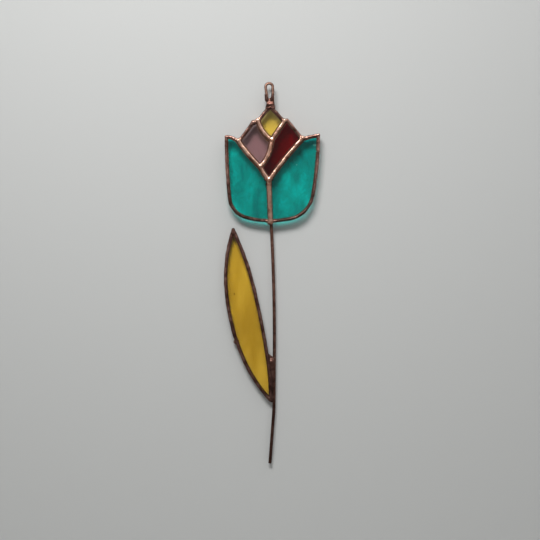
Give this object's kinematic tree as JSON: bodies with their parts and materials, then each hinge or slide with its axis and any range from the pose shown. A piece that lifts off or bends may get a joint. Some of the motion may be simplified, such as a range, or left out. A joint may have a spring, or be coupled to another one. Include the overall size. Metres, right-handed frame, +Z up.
{
  "type": "hanging tulip of stained glass",
  "caption": "Flat tulip of coloured glass panes edged in copper foil and joined by solder beads, with a bent wire stem, a glass leaf and a wire loop to hang it by.",
  "frame": {"origin": "inner top of the wire loop, where a hook bears", "axes": "+Z up as it hangs, +X to the viewer's right, the front faces -Y"},
  "size_m": [0.0482, 0.007, 0.1911],
  "materials": {
    "teal_glass": "wispy, gently rippled",
    "mauve_glass": "smooth",
    "red_glass": "smooth",
    "amber_glass": "streaky",
    "leaf_glass": "smooth",
    "copper_foil": "darkened",
    "solder": "copper patina, bright and lumpy",
    "stem_copper": "aged, satin",
    "loop_copper": "tinned, copper patina"
  },
  "bodies": {
    "root": {"glass_left_petal": "teal_glass", "glass_right_petal": "teal_glass", "glass_mauve": "mauve_glass", "glass_red": "red_glass", "glass_amber": "amber_glass", "glass_leaf": "leaf_glass", "foil_left_petal": "copper_foil", "foil_right_petal": "copper_foil", "foil_mauve": "copper_foil", "foil_red": "copper_foil", "foil_amber": "copper_foil", "foil_leaf": "copper_foil", "seam_centre": "solder", "seam_left_lower": "solder", "seam_right_arm": "solder", "seam_left_upper": "solder", "seam_mauve_red": "solder", "seam_amber_mauve": "solder", "seam_amber_red": "solder", "rim_left_petal": "solder", "rim_right_petal": "solder", "rim_mauve": "solder", "rim_red": "solder", "rim_amber": "solder", "rim_leaf": "solder", "loop_solder": "solder", "leaf_solder": "solder", "stem_wire": "stem_copper", "hanging_loop": "loop_copper"}
  },
  "joints": []
}
